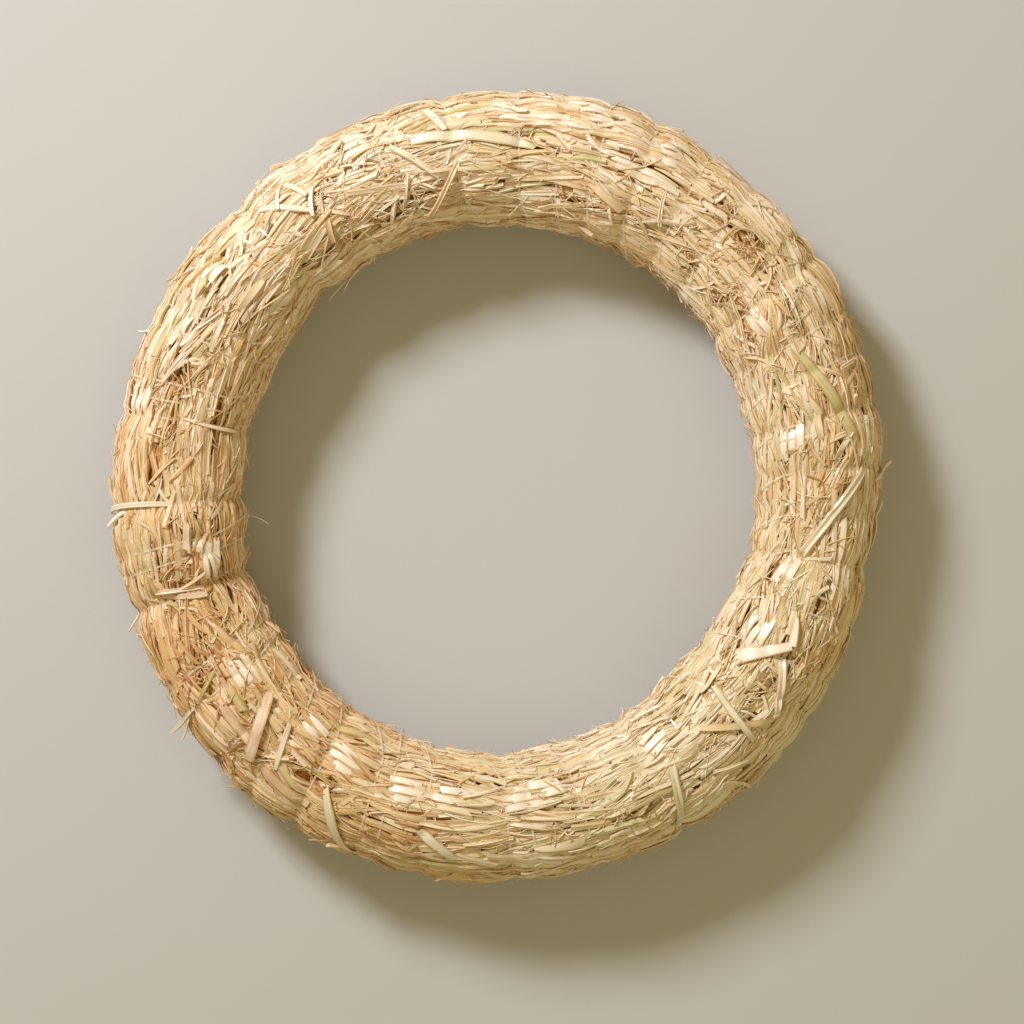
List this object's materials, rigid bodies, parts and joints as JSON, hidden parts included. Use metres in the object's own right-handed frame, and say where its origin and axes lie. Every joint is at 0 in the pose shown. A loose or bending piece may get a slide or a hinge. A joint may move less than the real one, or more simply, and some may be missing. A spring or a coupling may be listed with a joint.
{
  "type": "wreath frame",
  "caption": "Round ring of bundled straw bound with a fine clear thread, the padded base that flowers and greenery are pinned or wired to.",
  "frame": {"origin": "centre of the ring, on the plane that its back rests on", "axes": "+Z is the ring's axis, from the back that rests on the table towards the face that is decorated"},
  "size_m": [0.299, 0.2989, 0.05],
  "materials": {
    "straw": "dry cereal straw, pale yellow, partly glossy",
    "leaf": "dry leaf sheath, matte to satin, faintly green",
    "stalk": "dry split stalk, cream, glossy skin",
    "thread": "fine translucent plastic thread"
  },
  "bodies": {
    "root": {"binding_thread": "thread", "cross_stalk_1": "stalk", "cross_stalk_2": "stalk", "cross_stalk_3": "stalk", "cross_stalk_4": "stalk", "cross_stalk_5": "stalk", "cross_stalk_6": "stalk", "cross_stalk_7": "stalk", "edge_stalk_1": "stalk", "folded_leaf_1": "leaf", "leaf_blade_1": "leaf", "leaf_blade_2": "leaf", "leaf_blade_3": "leaf", "leaf_blade_4": "leaf", "straw_handful_01": "straw", "straw_handful_02": "straw", "straw_handful_03": "straw", "straw_handful_04": "straw", "straw_handful_05": "straw", "straw_handful_06": "straw", "straw_handful_07": "straw", "straw_handful_08": "straw", "straw_handful_09": "straw", "straw_handful_10": "straw", "straw_handful_11": "straw", "straw_handful_12": "straw", "straw_handful_13": "straw", "straw_handful_14": "straw", "straw_handful_15": "straw", "straw_handful_16": "straw", "thread_end": "thread", "thread_knot": "thread"}
  },
  "joints": []
}
